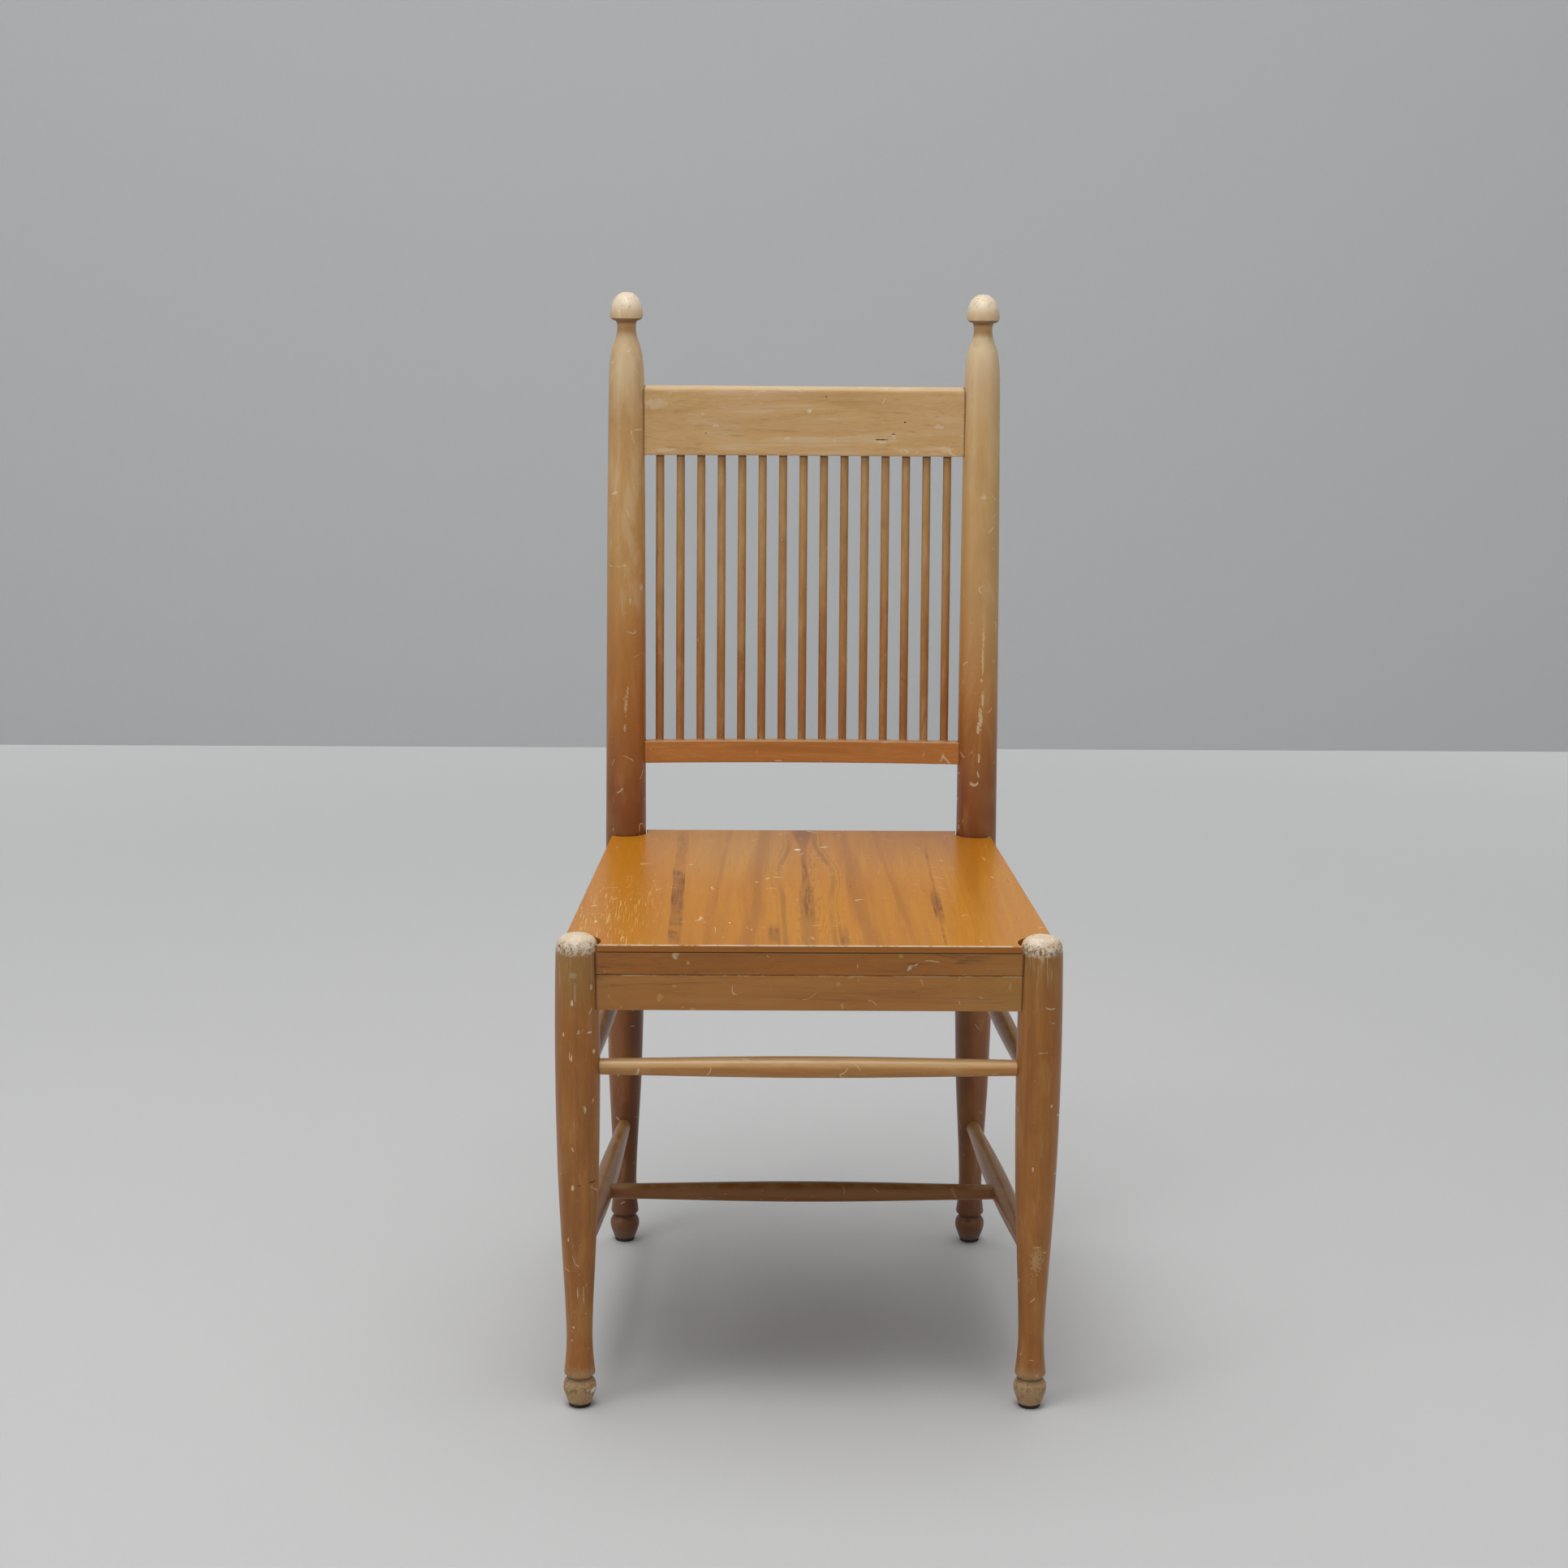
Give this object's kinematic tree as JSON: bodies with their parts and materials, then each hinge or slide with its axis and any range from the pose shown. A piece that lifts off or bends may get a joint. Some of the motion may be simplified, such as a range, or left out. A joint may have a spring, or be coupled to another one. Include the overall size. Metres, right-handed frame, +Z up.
{
  "type": "spindle-back wooden dining chair",
  "caption": "Turned wooden dining chair with a raked spindle back, acorn finials and a flat veneered seat, its varnish bleached, rubbed and chipped.",
  "frame": {"origin": "on the floor, under the middle of the chair's bounding box", "axes": "+Z up, +X across the chair to the right as seen from the front, -Y the way the sitter faces"},
  "size_m": [0.4622, 0.508, 0.9962],
  "materials": {
    "honey_varnish": "worn satin varnish with nicks",
    "post_varnish": "satin varnish, bleached towards the top",
    "bleached_varnish": "sun-bleached satin varnish",
    "apron_varnish": "darker satin varnish",
    "spindle_varnish": "satin varnish, rubbed pale in places",
    "stretcher_varnish": "satin varnish, dusty",
    "seat_veneer": "glossy varnished walnut veneer",
    "bare_beech": "bare sawn wood",
    "glide_plastic": "black moulded plastic",
    "zinc_screw": "zinc-plated steel"
  },
  "bodies": {
    "root": {"corner_block_front_left": "bare_beech", "corner_block_front_right": "bare_beech", "corner_block_rear_left": "bare_beech", "corner_block_rear_right": "bare_beech", "crest_rail": "bleached_varnish", "cross_stretcher": "stretcher_varnish", "front_apron_lower": "apron_varnish", "front_apron_upper": "apron_varnish", "front_glide_left": "glide_plastic", "front_glide_right": "glide_plastic", "front_leg_left": "honey_varnish", "front_leg_right": "honey_varnish", "front_stretcher": "stretcher_varnish", "lower_back_rail": "spindle_varnish", "lower_side_stretcher_left": "stretcher_varnish", "lower_side_stretcher_right": "stretcher_varnish", "rear_apron": "apron_varnish", "rear_glide_left": "glide_plastic", "rear_glide_right": "glide_plastic", "rear_post_left": "post_varnish", "rear_post_right": "post_varnish", "seat_panel": "seat_veneer", "seat_screw_front_left": "zinc_screw", "seat_screw_front_right": "zinc_screw", "seat_screw_rear_left": "zinc_screw", "seat_screw_rear_right": "zinc_screw", "side_apron_left": "apron_varnish", "side_apron_right": "apron_varnish", "spindle_01": "spindle_varnish", "spindle_02": "spindle_varnish", "spindle_03": "spindle_varnish", "spindle_04": "spindle_varnish", "spindle_05": "spindle_varnish", "spindle_06": "spindle_varnish", "spindle_07": "spindle_varnish", "spindle_08": "spindle_varnish", "spindle_09": "spindle_varnish", "spindle_10": "spindle_varnish", "spindle_11": "spindle_varnish", "spindle_12": "spindle_varnish", "spindle_13": "spindle_varnish", "spindle_14": "spindle_varnish", "spindle_15": "spindle_varnish", "upper_side_stretcher_left": "stretcher_varnish", "upper_side_stretcher_right": "stretcher_varnish"}
  },
  "joints": []
}
